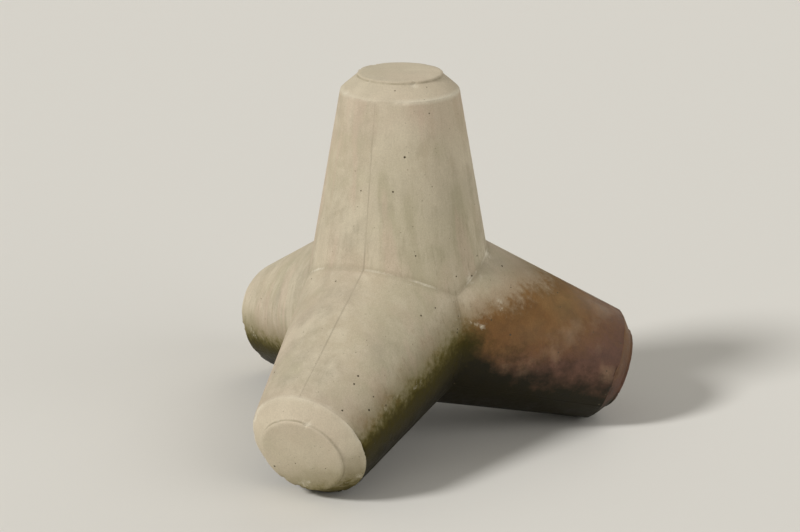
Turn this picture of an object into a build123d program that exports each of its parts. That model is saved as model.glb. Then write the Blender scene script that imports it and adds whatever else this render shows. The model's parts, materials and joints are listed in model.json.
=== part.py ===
from build123d import *
import os
from math import acos, cos, degrees, radians, sin, tan

# Concrete tetrapod, an interlocking armour block, cast in one piece.
# Four equal round legs taper away from one centre towards the corners of a
# regular tetrahedron. The block stands on three of them, with the fourth upright.
# Each leg ends in a flat disc inside a wide 45-degree bevel. Millimetres, +Z up,
# and the origin is the centre of the block, where the four leg axes meet.

# Driving sizes of the block, in millimetres and degrees
leg_reach = 1970.0  # from the centre of the block to the flat end of a leg
leg_end_radius = 462.0  # of the leg's cone, at the plane of its flat end
leg_taper = 10.0  # half angle of the leg's cone
end_bevel = 136.0  # depth and width of the bevel round a leg's end
crotch_radius = 30.0  # hollow fillet along the lines where two legs meet

# Directions of the legs, from the angles between the axes of a tetrahedron
leg_spread = degrees(acos(-1 / 3))  # between any two leg axes
leg_headings = [-90.0, 30.0, 150.0]  # compass headings of the three lower legs


def leg_direction(heading):
    """Unit vector along a lower leg, from the block's centre."""
    outward = sin(radians(leg_spread))
    return Vector(
        outward * cos(radians(heading)),
        outward * sin(radians(heading)),
        cos(radians(leg_spread)),
    )


def half_section_plane(direction, neighbour):
    """Plane through a leg's axis and the next leg's: X runs out from the axis, Y along it."""
    radial = (neighbour - direction * neighbour.dot(direction)).normalized()
    return Plane(origin=(0, 0, 0), x_dir=radial, z_dir=radial.cross(direction))


def cone_radius(distance):
    """Radius of a leg's cone at a distance from the block's centre, along the leg."""
    return leg_end_radius + (leg_reach - distance) * tan(radians(leg_taper))


upright = Vector(0, 0, 1)
directions = [upright] + [leg_direction(heading) for heading in leg_headings]
neighbours = directions[1:] + directions[:1]
bevel_start = leg_reach - end_bevel  # where the bevel leaves the cone, along the leg

with BuildPart() as tetrapod:
    # Each leg is a turned cone that starts at the centre, so the four run into one
    for direction, neighbour in zip(directions, neighbours):
        with BuildSketch(half_section_plane(direction, neighbour)):
            with BuildLine():
                Polyline(
                    (0, 0),
                    (cone_radius(0), 0),
                    (cone_radius(bevel_start), bevel_start),
                    (cone_radius(bevel_start) - end_bevel, leg_reach),
                    (0, leg_reach),
                    close=True,
                )
            make_face()
        revolve(axis=Axis((0, 0, 0), direction))

    # The six curves where two legs meet run together at four three-way corners
    fillet(tetrapod.edges().filter_by(GeomType.BSPLINE), radius=crotch_radius)

tetrapod.part.label = "tetrapod_block"

os.makedirs("parts", exist_ok=True)
export_step(tetrapod.part, "parts/tetrapod_block.step")
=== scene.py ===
import json
import math

import bpy
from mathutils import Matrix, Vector


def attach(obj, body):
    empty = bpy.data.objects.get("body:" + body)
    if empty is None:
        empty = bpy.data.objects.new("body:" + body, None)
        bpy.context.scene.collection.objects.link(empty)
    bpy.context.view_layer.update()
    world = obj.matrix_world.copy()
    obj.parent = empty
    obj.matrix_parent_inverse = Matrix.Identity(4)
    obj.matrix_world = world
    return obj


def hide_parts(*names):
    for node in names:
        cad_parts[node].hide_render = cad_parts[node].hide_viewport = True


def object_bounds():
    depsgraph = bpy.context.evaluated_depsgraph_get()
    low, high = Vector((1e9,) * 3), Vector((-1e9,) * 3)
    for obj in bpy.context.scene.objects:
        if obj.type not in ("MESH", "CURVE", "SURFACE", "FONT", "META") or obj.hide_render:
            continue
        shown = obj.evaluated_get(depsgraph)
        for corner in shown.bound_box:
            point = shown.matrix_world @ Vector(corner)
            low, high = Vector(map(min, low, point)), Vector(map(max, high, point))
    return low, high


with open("model.json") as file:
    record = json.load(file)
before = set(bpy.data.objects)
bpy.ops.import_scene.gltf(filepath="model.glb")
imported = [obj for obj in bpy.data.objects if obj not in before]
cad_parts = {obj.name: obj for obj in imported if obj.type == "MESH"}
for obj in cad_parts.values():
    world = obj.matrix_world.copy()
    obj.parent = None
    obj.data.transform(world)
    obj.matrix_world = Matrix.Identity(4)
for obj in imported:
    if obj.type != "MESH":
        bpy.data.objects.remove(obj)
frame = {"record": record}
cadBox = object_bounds()
mounts = {mount["name"]: mount for mount in frame["record"]["mounts"]}
print("frame loaded")


def addNode(tree, kind, inputs=None, **settings):
    # a socket takes a plain value, a node's first output, or (node, name or number of an output)
    node = tree.nodes.new(kind)
    for name, value in settings.items():
        setattr(node, name, value)
    for socket, value in (inputs or {}).items():
        if isinstance(value, bpy.types.Node):
            tree.links.new(value.outputs[0], node.inputs[socket])
        elif isinstance(value, tuple) and isinstance(value[0], bpy.types.Node):
            tree.links.new(value[0].outputs[value[1]], node.inputs[socket])
        else:
            node.inputs[socket].default_value = value
    return node


def hexToLinear(hexColour):
    # the sRGB standard's own curve
    channels = [int(hexColour[i:i + 2], 16) / 255 for i in (1, 3, 5)]
    linear = [c / 12.92 if c <= 0.04045 else ((c + 0.055) / 1.055) ** 2.4 for c in channels]
    return (*linear, 1.0)


# Tetrapod block: four round legs turned about the axes of a tetrahedron, in metres
blockShape = {
    "Leg Reach": Vector(mounts["top_leg_end"]["pos_m"]).length,
    "End Radius": 0.462,  # of the leg's cone, at the plane of its flat end
    "Taper": math.tan(math.radians(10)),
    "Bevel": 0.136,
    "Rim Radius": 0.018,  # where the bevel leaves the cone, rounded by wear
    "Rim Facets": 3,
    "Lip": 0.020,  # step down from the flat disc to the bevel, left by the mould's end plate
    "Lip Rounding": 0.3,  # share of the lip
    "Crotch Radius": 0.030,  # of the hollow where two legs meet
    "Crotch Angle": math.radians(64.7),  # from a leg's side to the plane half way to the next leg
    "Row Spacing": 0.025,
    "Columns": 228,  # round each leg, a multiple of 6
    "Seam Crowding": 0.8,  # how far the columns draw together at the mould seams
    "Weld Distance": 0.0005,
    "Wear Depth": 0.005,  # broad unevenness, cut into the surface
    "Swell Size": 0.450,
    "Dent Size": 0.090,
    "Dent Share": 0.35,  # of the unevenness; the rest is swells
    "Knock Reach": 0.045,  # how far from a rim it is knocked
    "Chip Depth": 0.010,  # small knocks along the rims
    "Chip Size": 0.110,
    "Chip Start": 0.50,  # levels of the noise between which a knock deepens
    "Chip Full": 0.72,
    "Chip Least": 0.12,  # share of that depth that is worn off everywhere
    "Break Depth": 0.014,  # the few places where a flake has broken off a rim
    "Break Size": 0.130,
    "Break Start": 0.62,
    "Break Full": 0.66,
    "Break Flat": 0.010,  # how far from the rim a flake keeps its full depth
    "Seam Height": 0.003,  # fin of slurry that leaked between two mould shells
    "Seam Width": 0.007,
    "Fin Start": 0.40,  # levels of the noise between which the fin is left standing
    "Fin Full": 0.55,
    "Shell Step": 0.0015,  # between neighbouring mould shells
    "Shell Overlap": 0.002,
    "Seed": 7.0,
}
crotchRows = (0.0, 0.16, 0.40, 0.80)  # rows of points in the hollow, as shares of its radius
shellSteps = (0.0, 1.0, 0.4, 1.6)  # shares of the shell step, by the leg that the shell is opposite to
wearNoises = {  # detail and roughness
    "Swell": (3.0, 0.5),
    "Dent": (2.0, 0.5),
    "Chip": (3.0, 0.6),
    "Break": (2.0, 0.5),
}
neighbours = len(mounts) - 1  # legs that each leg meets
legAngle = math.acos(-1 / 3)  # between the axes of any two legs


def addLegProfile(tree, size):
    # from the root of a leg to the middle of its end, X outwards and Z along the leg
    index = addNode(tree, "GeometryNodeInputIndex")
    position = addNode(tree, "GeometryNodeInputPosition")
    rootRadius = addNode(tree, "ShaderNodeMath",
                         {0: (size, "Leg Reach"), 1: (size, "Taper"), 2: (size, "End Radius")},
                         operation="MULTIPLY_ADD")
    bevelStart = addNode(tree, "ShaderNodeMath", {0: (size, "Leg Reach"), 1: (size, "Bevel")},
                         operation="SUBTRACT")
    bevelRadius = addNode(tree, "ShaderNodeMath",
                          {0: (size, "Bevel"), 1: (size, "Taper"), 2: (size, "End Radius")},
                          operation="MULTIPLY_ADD")
    flatRadius = addNode(tree, "ShaderNodeMath", {0: bevelRadius, 1: (size, "Bevel")},
                         operation="SUBTRACT")
    corners = []
    for share in crotchRows:
        height = addNode(tree, "ShaderNodeMath", {0: (size, "Crotch Radius"), 1: share},
                         operation="MULTIPLY")
        drop = addNode(tree, "ShaderNodeMath", {0: height, 1: (size, "Taper")}, operation="MULTIPLY")
        out = addNode(tree, "ShaderNodeMath", {0: rootRadius, 1: drop}, operation="SUBTRACT")
        corners.append((out, height))
    rimCorner = len(corners)
    lipFoot = addNode(tree, "ShaderNodeMath", {0: (size, "Leg Reach"), 1: (size, "Lip")},
                      operation="SUBTRACT")
    lipRound = addNode(tree, "ShaderNodeMath", {0: (size, "Lip"), 1: (size, "Lip Rounding")},
                       operation="MULTIPLY")
    lipInside = addNode(tree, "ShaderNodeMath", {0: flatRadius, 1: lipRound}, operation="SUBTRACT")
    lipBelow = addNode(tree, "ShaderNodeMath", {0: (size, "Leg Reach"), 1: lipRound},
                       operation="SUBTRACT")
    corners += [(bevelRadius, bevelStart), (flatRadius, lipFoot), (flatRadius, lipBelow),
                (lipInside, (size, "Leg Reach")), (0.0, (size, "Leg Reach"))]
    pick = addNode(tree, "GeometryNodeIndexSwitch", {"Index": index}, data_type="VECTOR")
    while len(pick.index_switch_items) < len(corners):
        pick.index_switch_items.new()
    for number, (out, height) in enumerate(corners):
        corner = addNode(tree, "ShaderNodeCombineXYZ", {"X": out, "Z": height})
        tree.links.new(corner.outputs[0], pick.inputs[number + 1])
    line = addNode(tree, "GeometryNodeMeshLine", {"Count": len(corners)}, mode="OFFSET")
    line = addNode(tree, "GeometryNodeSetPosition", {"Geometry": line, "Position": pick})
    profile = addNode(tree, "GeometryNodeMeshToCurve", {"Mesh": line})
    isRim = addNode(tree, "FunctionNodeCompare", {2: index, 3: rimCorner}, data_type="INT",
                    operation="EQUAL")
    rimRadius = addNode(tree, "ShaderNodeMath", {0: isRim, 1: (size, "Rim Radius")},
                        operation="MULTIPLY")
    profile = addNode(tree, "GeometryNodeFilletCurve",
                      {"Curve": profile, "Count": (size, "Rim Facets"), "Radius": rimRadius},
                      mode="POLY")
    nextIndex = addNode(tree, "ShaderNodeMath", {0: index, 1: 1.0}, operation="ADD")
    nextPoint = addNode(tree, "GeometryNodeFieldAtIndex", {"Index": nextIndex, "Value": position},
                        data_type="FLOAT_VECTOR", domain="POINT")
    run = addNode(tree, "ShaderNodeVectorMath", {0: position, 1: nextPoint}, operation="DISTANCE")
    cuts = addNode(tree, "ShaderNodeMath", {0: (run, "Value"), 1: (size, "Row Spacing")},
                   operation="DIVIDE")
    profile = addNode(tree, "GeometryNodeSubdivideCurve", {"Curve": profile, "Cuts": cuts})
    return profile, rootRadius, (bevelRadius, bevelStart), (flatRadius, lipFoot)


def addLeg(tree, size):
    profile, rootRadius, rimPoint, discPoint = addLegProfile(tree, size)
    bevelStart = rimPoint[1]
    index = addNode(tree, "GeometryNodeInputIndex")
    position = addNode(tree, "GeometryNodeInputPosition")

    # A grid takes the profile's rows, and its columns go round the leg's axis
    rows = addNode(tree, "GeometryNodeAttributeDomainSize", {0: profile}, component="CURVE")
    columns = addNode(tree, "ShaderNodeMath", {0: (size, "Columns"), 1: 1.0}, operation="ADD")
    grid = addNode(tree, "GeometryNodeMeshGrid",
                   {"Vertices X": columns, "Vertices Y": (rows, "Point Count")})
    row = addNode(tree, "ShaderNodeMath", {0: index, 1: (rows, "Point Count")}, operation="MODULO")
    column = addNode(tree, "ShaderNodeMath", {0: index, 1: (rows, "Point Count")}, operation="DIVIDE")
    column = addNode(tree, "ShaderNodeMath", {0: column}, operation="FLOOR")
    sample = addNode(tree, "GeometryNodeSampleIndex",
                     {"Geometry": profile, "Value": position, "Index": row},
                     data_type="FLOAT_VECTOR", domain="POINT")
    onProfile = addNode(tree, "ShaderNodeSeparateXYZ", {0: sample})
    turnShare = addNode(tree, "ShaderNodeMath", {0: column, 1: (size, "Columns")}, operation="DIVIDE")
    evenTurn = addNode(tree, "ShaderNodeMath", {0: turnShare, 1: math.tau}, operation="MULTIPLY")
    waves = addNode(tree, "ShaderNodeMath", {0: evenTurn, 1: neighbours}, operation="MULTIPLY")
    waves = addNode(tree, "ShaderNodeMath", {0: waves}, operation="SINE")
    crowding = addNode(tree, "ShaderNodeMath", {0: (size, "Seam Crowding"), 1: -1 / neighbours},
                       operation="MULTIPLY")
    turn = addNode(tree, "ShaderNodeMath", {0: waves, 1: crowding, 2: evenTurn},
                   operation="MULTIPLY_ADD")
    fromSeam = addNode(tree, "ShaderNodeMath",
                       {0: turn, 1: math.pi / neighbours, 2: -math.pi / neighbours},
                       operation="WRAP")

    # The root follows the curve where this leg meets the next: half way between the two axes
    cosine = addNode(tree, "ShaderNodeMath", {0: fromSeam}, operation="COSINE")
    facing = addNode(tree, "ShaderNodeMath", {0: cosine, 1: math.sin(legAngle)},
                     operation="MULTIPLY")
    reachOfRoot = addNode(tree, "ShaderNodeMath",
                          {0: facing, 1: (size, "Taper"), 2: 1 - math.cos(legAngle)},
                          operation="MULTIPLY_ADD")
    rootLift = addNode(tree, "ShaderNodeMath", {0: facing, 1: rootRadius}, operation="MULTIPLY")
    rootLift = addNode(tree, "ShaderNodeMath", {0: rootLift, 1: reachOfRoot}, operation="DIVIDE")
    fade = addNode(tree, "ShaderNodeMapRange", {"Value": (onProfile, "Z"), "From Max": bevelStart,
                                                "To Min": 1.0, "To Max": 0.0})
    lift = addNode(tree, "ShaderNodeMath", {0: rootLift, 1: fade}, operation="MULTIPLY")
    along = addNode(tree, "ShaderNodeMath", {0: (onProfile, "Z"), 1: lift}, operation="ADD")
    narrowing = addNode(tree, "ShaderNodeMath", {0: lift, 1: (size, "Taper")}, operation="MULTIPLY")
    out = addNode(tree, "ShaderNodeMath", {0: (onProfile, "X"), 1: narrowing}, operation="SUBTRACT")
    across = []
    for operation in ("COSINE", "SINE"):
        wave = addNode(tree, "ShaderNodeMath", {0: turn}, operation=operation)
        across.append(addNode(tree, "ShaderNodeMath", {0: out, 1: wave}, operation="MULTIPLY"))
    place = addNode(tree, "ShaderNodeCombineXYZ", {"X": across[0], "Y": across[1], "Z": along})
    leg = addNode(tree, "GeometryNodeSetPosition", {"Geometry": grid, "Position": place})

    # What the wear and the concrete need to know of each point
    onEnd = addNode(tree, "FunctionNodeCompare", {0: (onProfile, "Z"), 1: bevelStart},
                    data_type="FLOAT", operation="GREATER_THAN")
    seamDistance = addNode(tree, "ShaderNodeMath", {0: fromSeam}, operation="ABSOLUTE")
    seamDistance = addNode(tree, "ShaderNodeMath", {0: seamDistance, 1: out}, operation="MULTIPLY")
    seamDistance = addNode(tree, "ShaderNodeMath", {0: onEnd, 1: seamDistance}, operation="ADD")
    marks = {"seamDistance": seamDistance, "crotchDistance": (onProfile, "Z"), "onEnd": onEnd}
    for name, (edgeOut, edgeAlong) in (("rimDistance", rimPoint), ("discDistance", discPoint)):
        edge = addNode(tree, "ShaderNodeCombineXYZ", {"X": edgeOut, "Z": edgeAlong})
        gap = addNode(tree, "ShaderNodeVectorMath", {0: sample, 1: edge}, operation="DISTANCE")
        marks[name] = (gap, "Value")
    for name, value in marks.items():
        leg = addNode(tree, "GeometryNodeStoreNamedAttribute",
                      {"Geometry": leg, "Name": name, "Value": value},
                      data_type="FLOAT", domain="POINT")
    return leg


def addFourLegs(tree, size):
    # each leg is turned so that one of its crotches faces the next leg
    leg = addLeg(tree, size)
    index = addNode(tree, "GeometryNodeInputIndex")
    position = addNode(tree, "GeometryNodeInputPosition")
    pick = addNode(tree, "GeometryNodeIndexSwitch", {"Index": index}, data_type="VECTOR")
    while len(pick.index_switch_items) < len(mounts):
        pick.index_switch_items.new()
    for number, name in enumerate(mounts):
        tree.links.new(size.outputs[name], pick.inputs[number + 1])
    seeds = addNode(tree, "GeometryNodeMeshLine", {"Count": len(mounts)}, mode="OFFSET")
    seeds = addNode(tree, "GeometryNodeSetPosition", {"Geometry": seeds, "Position": pick})
    following = addNode(tree, "ShaderNodeMath", {0: index, 1: 1.0}, operation="ADD")
    following = addNode(tree, "ShaderNodeMath", {0: following, 1: len(mounts)}, operation="MODULO")
    nextLeg = addNode(tree, "GeometryNodeFieldAtIndex", {"Index": following, "Value": position},
                      data_type="FLOAT_VECTOR", domain="POINT")
    alongAxis = addNode(tree, "FunctionNodeAlignRotationToVector", {"Vector": position}, axis="Z")
    facingNext = addNode(tree, "FunctionNodeAlignRotationToVector",
                         {"Rotation": alongAxis, "Vector": nextLeg}, axis="X", pivot_axis="Z")
    seeds = addNode(tree, "GeometryNodeStoreNamedAttribute",
                    {"Geometry": seeds, "Name": "turnOfLeg", "Value": facingNext},
                    data_type="QUATERNION", domain="POINT")
    backToCentre = addNode(tree, "ShaderNodeVectorMath", {0: position, "Scale": -1.0},
                           operation="SCALE")
    seeds = addNode(tree, "GeometryNodeSetPosition", {"Geometry": seeds, "Offset": backToCentre})
    turnOfLeg = addNode(tree, "GeometryNodeInputNamedAttribute", {"Name": "turnOfLeg"},
                        data_type="QUATERNION")
    legs = addNode(tree, "GeometryNodeInstanceOnPoints",
                   {"Points": seeds, "Instance": leg, "Rotation": (turnOfLeg, "Attribute")})
    legs = addNode(tree, "GeometryNodeRealizeInstances", {"Geometry": legs})
    return addNode(tree, "GeometryNodeMergeByDistance",
                   {"Geometry": legs, "Distance": (size, "Weld Distance")})


def addHollow(tree, size, marks):
    # how far a point is raised by the hollow fillet along the lines where two legs meet
    tangent = addNode(tree, "ShaderNodeMath", {0: (size, "Crotch Angle")}, operation="TANGENT")
    filletReach = addNode(tree, "ShaderNodeMath", {0: (size, "Crotch Radius"), 1: tangent},
                          operation="DIVIDE")
    inFillet = addNode(tree, "ShaderNodeMath", {0: filletReach, 1: marks["crotchDistance"]},
                       operation="SUBTRACT")
    inFillet = addNode(tree, "ShaderNodeMath", {0: inFillet, 1: 0.0}, operation="MAXIMUM")
    squares = [addNode(tree, "ShaderNodeMath", {0: value, 1: 2.0}, operation="POWER")
               for value in ((size, "Crotch Radius"), inFillet)]
    root = addNode(tree, "ShaderNodeMath", {0: squares[0], 1: squares[1]}, operation="SUBTRACT")
    root = addNode(tree, "ShaderNodeMath", {0: root}, operation="SQRT")
    return addNode(tree, "ShaderNodeMath", {0: (size, "Crotch Radius"), 1: root},
                   operation="SUBTRACT")


def addWear(tree, size, marks):
    # broad unevenness and a finer one, and knocked rims, all cut inwards
    position = addNode(tree, "GeometryNodeInputPosition")
    shift = addNode(tree, "ShaderNodeCombineXYZ", {"X": (size, "Seed"), "Y": (size, "Seed")})
    shifted = addNode(tree, "ShaderNodeVectorMath", {0: position, 1: shift}, operation="ADD")
    noises = {}
    for name, (detail, roughness) in wearNoises.items():
        scale = addNode(tree, "ShaderNodeMath", {0: 1.0, 1: (size, name + " Size")},
                        operation="DIVIDE")
        noises[name] = addNode(tree, "ShaderNodeTexNoise",
                               {"Vector": shifted, "Scale": scale, "Detail": detail,
                                "Roughness": roughness})
    wear = addNode(tree, "ShaderNodeMix",
                   {0: (size, "Dent Share"), 2: noises["Swell"], 3: noises["Dent"]},
                   data_type="FLOAT")
    wear = addNode(tree, "ShaderNodeMath", {0: wear, 1: (size, "Wear Depth")}, operation="MULTIPLY")

    rimGap = addNode(tree, "ShaderNodeMath", {0: marks["rimDistance"], 1: marks["discDistance"]},
                     operation="MINIMUM")
    nearRim = addNode(tree, "ShaderNodeMapRange",
                      {"Value": rimGap, "From Max": (size, "Knock Reach"), "To Min": 1.0, "To Max": 0.0},
                      interpolation_type="SMOOTHSTEP")
    knocks = addNode(tree, "ShaderNodeMapRange",
                     {"Value": noises["Chip"], "From Min": (size, "Chip Start"),
                      "From Max": (size, "Chip Full"), "To Min": (size, "Chip Least")})
    chips = addNode(tree, "ShaderNodeMath", {0: nearRim, 1: knocks}, operation="MULTIPLY")
    chips = addNode(tree, "ShaderNodeMath", {0: chips, 1: (size, "Chip Depth"), 2: wear},
                    operation="MULTIPLY_ADD")
    flakes = addNode(tree, "ShaderNodeMapRange",
                     {"Value": noises["Break"], "From Min": (size, "Break Start"),
                      "From Max": (size, "Break Full")})
    nearBreak = addNode(tree, "ShaderNodeMapRange",
                        {"Value": rimGap, "From Min": (size, "Break Flat"),
                         "From Max": (size, "Knock Reach"), "To Min": 1.0, "To Max": 0.0},
                        interpolation_type="SMOOTHSTEP")
    broken = addNode(tree, "ShaderNodeMath", {0: flakes, 1: nearBreak}, operation="MULTIPLY")
    worn = addNode(tree, "ShaderNodeMath", {0: broken, 1: (size, "Break Depth"), 2: chips},
                   operation="MULTIPLY_ADD")
    return worn, broken, noises["Dent"]


def addShellSteps(tree, size, marks):
    # the mould's four shells stand a little in or out of line, each opposite one leg
    position = addNode(tree, "GeometryNodeInputPosition")
    dots = [addNode(tree, "ShaderNodeVectorMath", {0: position, 1: (size, name)},
                    operation="DOT_PRODUCT") for name in mounts]
    lowest = (dots[0], "Value")
    for dot in dots[1:]:
        lowest = addNode(tree, "ShaderNodeMath", {0: lowest, 1: (dot, "Value")}, operation="MINIMUM")
    step = 0.0
    for dot, share in zip(dots, shellSteps):
        behind = addNode(tree, "ShaderNodeMath",
                         {0: (dot, "Value"), 1: lowest, 2: (size, "Shell Overlap")},
                         operation="COMPARE")
        behind = addNode(tree, "ShaderNodeMath", {0: behind, 1: share}, operation="MULTIPLY")
        step = addNode(tree, "ShaderNodeMath", {0: behind, 1: step}, operation="MAXIMUM")
    step = addNode(tree, "ShaderNodeMath", {0: step, 1: (size, "Shell Step")}, operation="MULTIPLY")
    onShell = addNode(tree, "ShaderNodeMath", {0: 1.0, 1: marks["onEnd"]}, operation="SUBTRACT")
    return addNode(tree, "ShaderNodeMath", {0: step, 1: onShell}, operation="MULTIPLY")


def addFins(tree, size, marks, dents):
    # slurry fin along each seam, broken away in places
    fin = addNode(tree, "ShaderNodeMapRange",
                  {"Value": marks["seamDistance"], "From Max": (size, "Seam Width"), "To Min": 1.0,
                   "To Max": 0.0}, interpolation_type="SMOOTHSTEP")
    left = addNode(tree, "ShaderNodeMapRange",
                   {"Value": dents, "From Min": (size, "Fin Start"), "From Max": (size, "Fin Full")})
    fin = addNode(tree, "ShaderNodeMath", {0: fin, 1: left}, operation="MULTIPLY")
    return addNode(tree, "ShaderNodeMath", {0: fin, 1: (size, "Seam Height")}, operation="MULTIPLY")


def makeBlockTree():
    tree = bpy.data.node_groups.new("tetrapodBlock", "GeometryNodeTree")
    tree.interface.new_socket("Geometry", in_out="INPUT", socket_type="NodeSocketGeometry")
    for name, value in blockShape.items():
        kind = "NodeSocketInt" if isinstance(value, int) else "NodeSocketFloat"
        tree.interface.new_socket(name, in_out="INPUT", socket_type=kind)
    for name in mounts:
        tree.interface.new_socket(name, in_out="INPUT", socket_type="NodeSocketVector")
    tree.interface.new_socket("Concrete", in_out="INPUT", socket_type="NodeSocketMaterial")
    tree.interface.new_socket("Geometry", in_out="OUTPUT", socket_type="NodeSocketGeometry")

    size = addNode(tree, "NodeGroupInput")
    block = addFourLegs(tree, size)
    normal = addNode(tree, "GeometryNodeInputNormal")
    upwards = addNode(tree, "ShaderNodeSeparateXYZ", {0: normal})
    marks = {name: addNode(tree, "GeometryNodeInputNamedAttribute", {"Name": name}, data_type="FLOAT")
             for name in ("crotchDistance", "rimDistance", "discDistance", "seamDistance", "onEnd")}
    hollow = addHollow(tree, size, marks)
    worn, broken, dents = addWear(tree, size, marks)
    step = addShellSteps(tree, size, marks)
    fin = addFins(tree, size, marks, dents)
    for name, value in (("facingUp", (upwards, "Z")), ("brokenShare", broken)):
        block = addNode(tree, "GeometryNodeStoreNamedAttribute",
                        {"Geometry": block, "Name": name, "Value": value},
                        data_type="FLOAT", domain="POINT")
    raised = addNode(tree, "ShaderNodeMath", {0: hollow, 1: fin}, operation="ADD")
    lowered = addNode(tree, "ShaderNodeMath", {0: worn, 1: step}, operation="ADD")
    move = addNode(tree, "ShaderNodeMath", {0: raised, 1: lowered}, operation="SUBTRACT")
    offset = addNode(tree, "ShaderNodeVectorMath", {0: normal, "Scale": move}, operation="SCALE")
    block = addNode(tree, "GeometryNodeSetPosition", {"Geometry": block, "Offset": offset})
    block = addNode(tree, "GeometryNodeSetShadeSmooth", {"Geometry": block})
    block = addNode(tree, "GeometryNodeRealizeInstances", {"Geometry": block})
    block = addNode(tree, "GeometryNodeSetMaterial",
                    {"Geometry": block, "Material": (size, "Concrete")})
    addNode(tree, "NodeGroupOutput", {"Geometry": block})
    return tree


# Weathered cast concrete: poured in steel moulds, which leave it smooth and matt with air holes and
# seam lines, then bleached and streaked by the weather. Below a ragged edge it is stained by algae
# and rust, black-green where it faces down and brown where it faces up, and it stays damp. Its
# dark olive and black-green are darker than the algae alone, as painted shade on the undersides
concreteLook = {
    "beige": "#BAAD95",
    "pale": "#C9BEA7",
    "grey": "#ABA18C",
    "rosy": "#C0AC98",
    "moss": "#ACA489",
    "dust": "#D9D1BD",  # worn rims, chalky marks and dried salt
    # colour of the rain streaks, and of the painted shade in the crotches and at the disc's step
    "streak": "#857B63",
    # painted shade inside the air holes and pits
    "hole": "#4F4736",
    "olive": "#6C633A",
    # algae colours, made darker still as painted shade on the undersides
    "darkOliveAndShade": "#3B340C",
    "blackGreenAndShade": "#1F1B0B",
    "tan": "#7F6642",
    "brown": "#6C4E31",
    "rust": "#6B4522",
    "purple": "#5A4138",
    "bareStain": "#957C62",  # where the growth is worn thin
    "stainHeight": -0.30,  # of the stain's upper edge at the middle of the block, metres
    "stainSlope": 0.45,  # how steeply that edge rises towards the right leg
    "edgeWander": {"clouds": 0.40, "patches": 0.26, "lime": 0.15, "specks": 0.30, "streaks": 0.04},
    # how much higher the stain reaches as a face turns down, and how much lower it starts on the ends
    "dampClimb": {"From Min": 0.5, "From Max": -0.5, "To Max": 0.35},
    "washedEnds": 0.34,
    # metres to the right over which algae give way to brown, and what else holds them back
    "brownSide": {"From Min": 0.30, "From Max": 0.75, "To Min": -0.55, "To Max": 0.0},
    "algaeMottle": 0.8,
    "algaeOffEnds": 0.35,
    "saltDepth": 0.02,  # below the stain's edge, where salt dries
    "holeSize": 19,  # across the largest air holes, millimetres
    "holeSpacing": 65,
    "holeEdge": 0.02,  # how softly a hole begins, as a share of the spacing
    "holeStrength": 1.0,
    "pitSize": 11,  # real ones are 3 to 6 mm, drawn twice as coarse, so that they show
    "pitSpacing": 26,
    "pitEdge": 0.1,
    "pitStrength": 0.5,
    "seamLine": 0.009,  # width of the dark line along a mould seam, metres
    "grainRelief": 0.35,
    "reliefDepth": 0.008,
    "reliefStrength": 0.7,
    "ior": 1.5,
    "specular": 0.18,  # dust and growth dull the shine
    "patterns": {  # size across in millimetres, then the noise's detail and roughness
        "clouds": (670, 5.0, 0.55),  # of cement paste
        "patches": (140, 7.0, 0.65),
        "bleached": (360, 6.0, 0.50),
        "tint": (900, 4.0, 0.50),
        "bands": (190, 2.0, 0.50),
        "streaks": (26, 4.0, 0.70),
        "lime": (250, 8.0, 0.70),
        "specks": (45, 3.0, 0.60),  # of growth along the stain's edge
        "grain": (10, 3.0, 0.60),  # sand grains of 2 mm drawn five times as coarse, so that they show
    },
    "patternSeeds": {"tint": 3.0, "bleached": 5.0, "lime": 9.0},
    "drawnOut": ("streaks", "bands"),
    "upStretch": 0.045,  # rain draws those two out to 22 times their width
}
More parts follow.
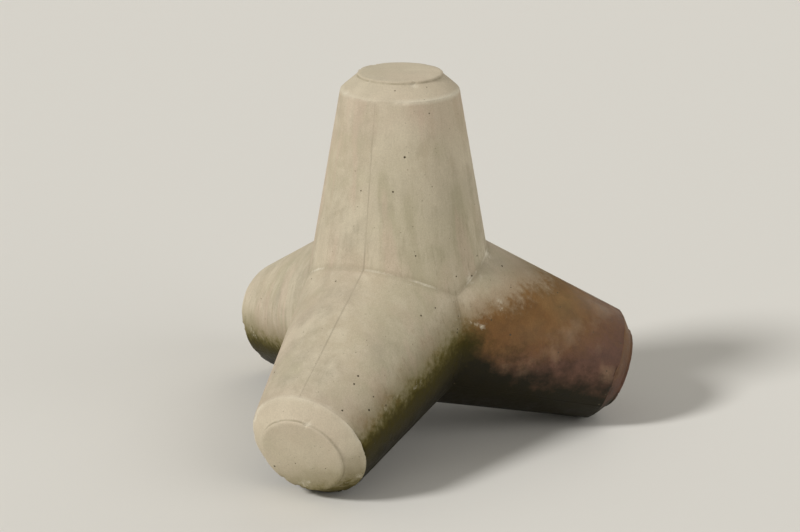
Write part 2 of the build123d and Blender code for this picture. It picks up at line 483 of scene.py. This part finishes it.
# Where an effect sets in: what it follows, two values of that, and the effect's share at each.
# Depths below the stain's edge and distances are in metres
concreteShares = {
    "cloudy": ("clouds", 0.36, 0.60, 0.0, 1.0),
    "streaky": ("streaks", 0.50, 0.72, 0.0, 1.0),
    "steep": ("flatness", 0.85, 0.35, 0.0, 1.0),
    "nearStain": ("depth", -1.5, -0.05, 0.16, 0.60),  # streaks grow towards the stain
    "comeAndGo": ("patches", 0.40, 0.60, 0.35, 1.0),
    "offEnds": ("onEnd", 0.0, 1.0, 1.0, 0.25),
    "paleEnds": ("onEnd", 0.0, 1.0, 0.0, 0.45),
    # painted shade in the hollows where two legs meet
    "crotchShade": ("crotchDistance", 0.0, 0.060, 0.30, 0.0),
    # painted shade in the step between the flat disc and the bevel
    "stepLine": ("discDistance", 0.004, 0.012, 0.55, 0.0),
    "rims": ("rimDistance", 0.0, 0.04, 0.8, 0.0),
    "flakes": ("brokenShare", 0.0, 1.0, 0.0, 0.6),
    "limy": ("lime", 0.57, 0.64, 0.0, 1.0),
    "nearCrotch": ("crotchDistance", 0.02, 0.12, 0.8, 0.0),
    "crotchLine": ("crotchDistance", 0.007, 0.014, 0.5, 0.0),
    "leached": ("lime", 0.46, 0.58, 0.0, 1.0),
    "drips": ("streaks", 0.62, 0.68, 0.0, 1.0),
    "nearRim": ("rimDistance", 0.04, 0.16, 0.8, 0.0),
    "stain": ("depth", -0.12, 0.12, 0.0, 1.0),
    "film": ("softDepth", -0.42, 0.0, 0.0, 0.62),  # thin growth above the stain
    "algae": ("turnedDown", 0.50, 0.05, 0.0, 1.0),
    "mottle": ("patches", 0.3, 0.7, 0.75, 1.25),
    "atEdge": ("fromEdge", 0.04, 0.14, 0.75, 0.0),
    "salty": ("lime", 0.58, 0.66, 0.0, 1.0),
    "seamDark": ("clouds", 0.42, 0.58, 0.98, 0.82),  # fainter here and there
    "noHoles": ("depth", -0.8, -0.1, 0.85, 0.60),  # most air holes are near the stain
    "noCluster": ("lime", 0.45, 0.62, 0.12, -0.35),
    "noPits": ("patches", 0.42, 0.62, 0.98, 0.55),
    "grainShade": ("grain", 0.3, 0.7, 0.92, 1.08),
    "roughness": ("depth", 0.1, 0.4, 0.88, 0.50),  # damp in the stain
    "dryPatches": ("patches", 0.35, 0.65, -0.08, 0.12),
}
smoothShares = ("stain", "film")
# Effects that show only where all of these do
concreteProducts = {
    "banded": ("steep", "offEnds"),
    # painted shade in the step, broken up here and there
    "rainStreaks": ("streaky", "steep", "nearStain", "comeAndGo", "offEnds"),
    "stepShade": ("stepLine", "comeAndGo"),
    "wornRims": ("rims", "cloudy"),
    "limeDrips": ("drips", "nearRim", "limy"),
    "limeMarks": ("limy", "nearCrotch"),
    "limeLine": ("crotchLine", "leached"),
    "driedSalt": ("atEdge", "salty"),
}
# Tints laid one over the other: what each follows, two values of that, its strength and colour
cleanTints = (
    ("clouds", 0.36, 0.60, 1.0, "beige"),
    ("patches", 0.42, 0.72, 0.75, "pale"),
    ("bleached", 0.54, 0.62, 0.6, "pale"),
    ("bleached", 0.47, 0.38, 0.4, "moss"),
    ("tint", 0.50, 0.66, 0.55, "rosy"),
    ("tint", 0.47, 0.34, 0.45, "moss"),
)
bandTints = (("bands", 0.53, 0.60, 0.38, "pale"), ("bands", 0.47, 0.40, 0.38, "rosy"))
stainTints = (
    ("depth", 0.05, 0.50, 1.0, "brown"),
    ("tint", 0.50, 0.62, 0.55, "rust"),
    ("depth", 0.45, 0.85, 0.85, "purple"),
    ("bleached", 0.54, 0.66, 0.45, "bareStain"),
)
# the two darker algae colours carry painted shade as well as algae
algaeTints = (("depth", -0.02, 0.20, 1.0, "darkOliveAndShade"), ("depth", 0.20, 0.55, 1.0, "blackGreenAndShade"))
# What is laid over the clean tints, in this order
cleanCovers = (
    # the streak colour also paints the shade in the crotches and at the disc's step
    ("paleEnds", "pale"), ("rainStreaks", "streak"), ("paintedShade", "streak"), ("wornRims", "dust"),
    ("flakes", "dust"), ("limeDrips", "dust"), ("limeMarks", "dust"), ("limeLine", "dust"),
)


def addPatterns(tree, look):
    # patterns, and the marks that the mesh carries
    place = (addNode(tree, "ShaderNodeTexCoord"), "Object")
    drawnOut = addNode(tree, "ShaderNodeVectorMath", {0: place, 1: (1.0, 1.0, look["upStretch"])},
                       operation="MULTIPLY")
    fields = {"place": place}
    for name in ("facingUp", "onEnd", "crotchDistance", "discDistance", "rimDistance", "seamDistance",
                 "brokenShare"):
        fields[name] = (addNode(tree, "ShaderNodeAttribute", attribute_name=name), "Fac")
    for name, (size, detail, roughness) in look["patterns"].items():
        noise = addNode(tree, "ShaderNodeTexNoise",
                        {"Vector": drawnOut if name in look["drawnOut"] else place,
                         "Scale": 1000 / size, "Detail": detail, "Roughness": roughness})
        if name in look["patternSeeds"]:
            noise.noise_dimensions = "4D"
            noise.inputs["W"].default_value = look["patternSeeds"][name]
        fields[name] = noise
    return fields


def addStainFields(tree, look, fields):
    # depth below the stain's edge, which wanders, is ragged and rises towards the right leg. Algae
    # climb higher where the face turns down and stays damp, and the legs' ends are washed clean
    rightLeg = Vector(mounts["right_leg_end"]["axis"][:2]).normalized()
    height = (addNode(tree, "ShaderNodeSeparateXYZ", {0: fields["place"]}), "Z")
    toRight = addNode(tree, "ShaderNodeVectorMath", {0: fields["place"], 1: (*rightLeg, 0.0)},
                      operation="DOT_PRODUCT")
    line = addNode(tree, "ShaderNodeMath",
                   {0: (toRight, "Value"), 1: look["stainSlope"], 2: look["stainHeight"]},
                   operation="MULTIPLY_ADD")
    depth = addNode(tree, "ShaderNodeMath", {0: line, 1: height}, operation="SUBTRACT")
    damper = addNode(tree, "ShaderNodeMapRange", {"Value": fields["facingUp"], **look["dampClimb"]})
    climb = addNode(tree, "ShaderNodeMix", {0: fields["onEnd"], 2: damper, 3: -look["washedEnds"]},
                    data_type="FLOAT")
    depth = addNode(tree, "ShaderNodeMath", {0: depth, 1: climb}, operation="ADD")
    for name, reach in look["edgeWander"].items():
        if name == "specks":
            fields["softDepth"] = depth  # without specks and streaks
        shift = addNode(tree, "ShaderNodeMath", {0: fields[name], 1: reach, 2: -reach / 2},
                        operation="MULTIPLY_ADD")
        depth = addNode(tree, "ShaderNodeMath", {0: depth, 1: shift}, operation="ADD")
    fields["depth"] = depth

    fromEdge = addNode(tree, "ShaderNodeMath", {0: depth, 1: look["saltDepth"]}, operation="SUBTRACT")
    fields["fromEdge"] = addNode(tree, "ShaderNodeMath", {0: fromEdge}, operation="ABSOLUTE")
    fields["flatness"] = addNode(tree, "ShaderNodeMath", {0: fields["facingUp"]}, operation="ABSOLUTE")
    shaded = addNode(tree, "ShaderNodeMapRange", {"Value": (toRight, "Value"), **look["brownSide"]})
    turnedDown = addNode(tree, "ShaderNodeMath",
                         {0: fields["patches"], 1: look["algaeMottle"], 2: fields["facingUp"]},
                         operation="MULTIPLY_ADD")
    turnedDown = addNode(tree, "ShaderNodeMath", {0: turnedDown, 1: shaded}, operation="ADD")
    fields["turnedDown"] = addNode(tree, "ShaderNodeMath",
                                   {0: fields["onEnd"], 1: look["algaeOffEnds"], 2: turnedDown},
                                   operation="MULTIPLY_ADD")


def addShares(tree, fields):
    shares = {}
    for name, (field, start, end, atStart, atEnd) in concreteShares.items():
        smooth = "SMOOTHSTEP" if name in smoothShares else "LINEAR"
        shares[name] = addNode(tree, "ShaderNodeMapRange",
                               {"Value": fields[field], "From Min": start, "From Max": end,
                                "To Min": atStart, "To Max": atEnd}, interpolation_type=smooth)
    for name, factors in concreteProducts.items():
        product = shares[factors[0]]
        for factor in factors[1:]:
            product = addNode(tree, "ShaderNodeMath", {0: product, 1: shares[factor]},
                              operation="MULTIPLY")
        shares[name] = product
    # painted shade in the crotches and at the disc's step
    shares["paintedShade"] = addNode(tree, "ShaderNodeMath", {0: shares["crotchShade"], 1: shares["stepShade"]},
                             operation="MAXIMUM")
    return shares


def layTints(tree, look, fields, colour, tints, within=1.0):
    for field, start, end, strength, name in tints:
        share = addNode(tree, "ShaderNodeMapRange",
                        {"Value": fields[field], "From Min": start, "From Max": end,
                         "To Max": strength})
        share = addNode(tree, "ShaderNodeMath", {0: share, 1: within}, operation="MULTIPLY")
        mix = addNode(tree, "ShaderNodeMix", {0: share, 6: colour, 7: look[name]}, data_type="RGBA")
        colour = (mix, 2)
    return colour


def addHoles(tree, look, fields, name, channel, least):
    # one round hole in each cell whose drawn number is above the least
    spacing = look[name + "Spacing"]
    cells = addNode(tree, "ShaderNodeTexVoronoi",
                    {"Vector": fields["place"], "Scale": 1000 / spacing})
    drawn = addNode(tree, "ShaderNodeSeparateColor", {0: (cells, "Color")})
    radius = addNode(tree, "ShaderNodeMapRange",
                     {"Value": (drawn, channel), "From Min": least,
                      "To Max": look[name + "Size"] / spacing / 2})
    inside = addNode(tree, "ShaderNodeMath", {0: radius, 1: (cells, "Distance")},
                     operation="SUBTRACT")
    return addNode(tree, "ShaderNodeMapRange",
                   {"Value": inside, "From Max": look[name + "Edge"],
                    "To Max": look[name + "Strength"]})


def makeConcrete():
    material = bpy.data.materials.new("weatheredCastConcrete")
    material.use_nodes = True
    tree = material.node_tree
    tree.nodes.clear()
    look = {name: hexToLinear(value) if isinstance(value, str) else value
            for name, value in concreteLook.items()}
    fields = addPatterns(tree, look)
    addStainFields(tree, look, fields)
    shares = addShares(tree, fields)

    # Clean concrete, with upright bands, streaks, painted shade in the crotches and at the disc's step,
    # worn rims and lime
    colour = layTints(tree, look, fields, look["grey"], cleanTints)
    colour = layTints(tree, look, fields, colour, bandTints, shares["banded"])
    for share, name in cleanCovers:
        mix = addNode(tree, "ShaderNodeMix", {0: shares[share], 6: colour, 7: look[name]},
                      data_type="RGBA")
        colour = (mix, 2)

    # The stain is brown on upward faces, and black-green with an olive edge where the face turns
    # down or to the left, its dark olive and black-green holding painted shade too. A thin film of the
    # growth reaches above its ragged edge
    stain = layTints(tree, look, fields, look["tan"], stainTints)
    algae = layTints(tree, look, fields, look["olive"], algaeTints)
    stain = addNode(tree, "ShaderNodeMix", {0: shares["algae"], 6: stain, 7: algae},
                    data_type="RGBA")
    stain = addNode(tree, "ShaderNodeVectorMath", {0: (stain, 2), "Scale": shares["mottle"]},
                    operation="SCALE")
    film = addNode(tree, "ShaderNodeMix", {0: shares["algae"], 6: look["tan"], 7: look["olive"]},
                   data_type="RGBA")
    for share, cover in (("film", (film, 2)), ("stain", stain), ("driedSalt", look["dust"])):
        mix = addNode(tree, "ShaderNodeMix", {0: shares[share], 6: colour, 7: cover},
                      data_type="RGBA")
        colour = (mix, 2)

    # Mould seams show as thin darker lines
    seamShade = addNode(tree, "ShaderNodeMapRange",
                        {"Value": fields["seamDistance"], "From Min": look["seamLine"] / 2,
                         "From Max": look["seamLine"], "To Min": shares["seamDark"]})
    colour = addNode(tree, "ShaderNodeVectorMath", {0: colour, "Scale": seamShade},
                     operation="SCALE")

    # Air holes in clusters, and fine pits where the skin has weathered away, painted dark as the shade
    # inside them
    least = addNode(tree, "ShaderNodeMath", {0: shares["noHoles"], 1: shares["noCluster"]},
                    operation="ADD")
    holes = addHoles(tree, look, fields, "hole", "Red", least)
    pits = addHoles(tree, look, fields, "pit", "Green", shares["noPits"])
    for share in (holes, pits):
        mix = addNode(tree, "ShaderNodeMix", {0: share, 6: colour, 7: look["hole"]},
                      data_type="RGBA")
        colour = (mix, 2)

    # Grain of the surface, and the holes, as fine relief
    colour = addNode(tree, "ShaderNodeVectorMath", {0: colour, "Scale": shares["grainShade"]},
                     operation="SCALE")
    sunken = addNode(tree, "ShaderNodeMath", {0: holes, 1: pits}, operation="MAXIMUM")
    relief = addNode(tree, "ShaderNodeMath",
                     {0: fields["grain"], 1: look["grainRelief"], 2: fields["patches"]},
                     operation="MULTIPLY_ADD")
    relief = addNode(tree, "ShaderNodeMath", {0: relief, 1: sunken}, operation="SUBTRACT")
    bump = addNode(tree, "ShaderNodeBump", {"Height": relief, "Distance": look["reliefDepth"],
                                            "Strength": look["reliefStrength"]})
    roughness = addNode(tree, "ShaderNodeMath", {0: shares["roughness"], 1: shares["dryPatches"]},
                        operation="ADD", use_clamp=True)
    surface = addNode(tree, "ShaderNodeBsdfPrincipled",
                      {"Base Color": colour, "Roughness": roughness, "IOR": look["ior"],
                       "Specular IOR Level": look["specular"], "Normal": bump})
    addNode(tree, "ShaderNodeOutputMaterial", {"Surface": surface})
    return material


concrete = makeConcrete()
blockTree = makeBlockTree()
print("concrete and block tree made")

blockMesh = bpy.data.meshes.new("blockSeed")
blockSeed = bpy.data.objects.new("blockSeed", blockMesh)
bpy.context.scene.collection.objects.link(blockSeed)
modifier = blockSeed.modifiers.new("tetrapodBlock", "NODES")
modifier.node_group = blockTree
axes = {name: mount["axis"] for name, mount in mounts.items()}
settings = {**blockShape, **axes, "Concrete": concrete}
for item in blockTree.interface.items_tree:
    if item.item_type == "SOCKET" and item.in_out == "INPUT" and item.name in settings:
        modifier[item.identifier] = settings[item.name]
depsgraph = bpy.context.evaluated_depsgraph_get()
plainMesh = bpy.data.meshes.new_from_object(blockSeed.evaluated_get(depsgraph))
block = bpy.data.objects.new("tetrapodConcrete", plainMesh)
bpy.context.scene.collection.objects.link(block)
bpy.data.objects.remove(blockSeed)
print("block made,", len(plainMesh.vertices), "points,", len(plainMesh.polygons), "faces")
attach(block, "root")
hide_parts("tetrapod_block")

# Pale studio floor and room, plain soft lamps
studio = {
    "floorColour": "#DCD9D2",
    "floorRoughness": 0.9,
    "floorReach": 400.0,  # from the block to the floor's edge, metres
    "roomColour": "#D9D6CE",  # as the lit floor looks far away, so no horizon shows
    "roomLevel": 0.405,  # what the room adds to a surface, where 1 shows a colour as written
}
lamps = {  # azimuth and height round the block and width of the lamp in degrees, and its level
    "keyLamp": (-36, 38, 12, 0.74),
    "fillLamp": (78, 28, 50, 0.22),
    "backLamp": (170, 40, 50, 0.12),
}
floorCorners = [(x * studio["floorReach"], y * studio["floorReach"], cadBox[0].z)
                for x, y in ((-1, -1), (1, -1), (1, 1), (-1, 1))]
floorMesh = bpy.data.meshes.new("studioFloor")
floorMesh.from_pydata(floorCorners, [], [(0, 1, 2, 3)])
floor = bpy.data.objects.new("studioFloor", floorMesh)
bpy.context.scene.collection.objects.link(floor)
floorPaint = bpy.data.materials.new("mattFloorPaint")  # rolled on, so it hardly shines
floorPaint.use_nodes = True
floorPaint.node_tree.nodes.clear()
paint = addNode(floorPaint.node_tree, "ShaderNodeBsdfPrincipled",
                {"Base Color": hexToLinear(studio["floorColour"]),
                 "Roughness": studio["floorRoughness"]})
addNode(floorPaint.node_tree, "ShaderNodeOutputMaterial", {"Surface": paint})
floorMesh.materials.append(floorPaint)

room = bpy.data.worlds.new("studioRoom")
bpy.context.scene.world = room
room.use_nodes = True
room.node_tree.nodes.clear()
rays = addNode(room.node_tree, "ShaderNodeLightPath")
seen = addNode(room.node_tree, "ShaderNodeMath",
               {0: (rays, "Is Camera Ray"), 1: (rays, "Is Glossy Ray")}, operation="MAXIMUM")
level = addNode(room.node_tree, "ShaderNodeMapRange",
                {"Value": seen, "To Min": studio["roomLevel"], "To Max": 1.0})
shine = addNode(room.node_tree, "ShaderNodeBackground",
                {"Color": hexToLinear(studio["roomColour"]), "Strength": level})
addNode(room.node_tree, "ShaderNodeOutputWorld", {"Surface": shine})


def directionFrom(azimuth, elevation):
    # unit vector from the block towards a lamp or the camera, azimuth 0 in front of it
    turn, rise = math.radians(azimuth), math.radians(elevation)
    return Vector((math.sin(turn) * math.cos(rise), -math.cos(turn) * math.cos(rise), math.sin(rise)))


for name, (azimuth, elevation, width, lampLevel) in lamps.items():
    lamp = bpy.data.lights.new(name, "SUN")
    lamp.angle = math.radians(width)
    lamp.energy = lampLevel * math.pi
    holder = bpy.data.objects.new(name, lamp)
    holder.rotation_euler = directionFrom(azimuth, elevation).to_track_quat("Z", "Y").to_euler()
    bpy.context.scene.collection.objects.link(holder)

# Camera where the photograph's stands: above the block and well back
view = {"azimuth": 24.0, "elevation": 18.5, "distance": 17.15, "lens": 93.0, "aimHeight": 0.32}
cameraData = bpy.data.cameras.new("camera")
cameraData.lens = view["lens"]
camera = bpy.data.objects.new("camera", cameraData)
bpy.context.scene.collection.objects.link(camera)
backwards = directionFrom(view["azimuth"], view["elevation"])
camera.location = Vector((0, 0, view["aimHeight"])) + backwards * view["distance"]
camera.rotation_euler = backwards.to_track_quat("Z", "Y").to_euler()
bpy.context.scene.camera = camera
bpy.context.scene.view_settings.view_transform = "Standard"
print("studio made")
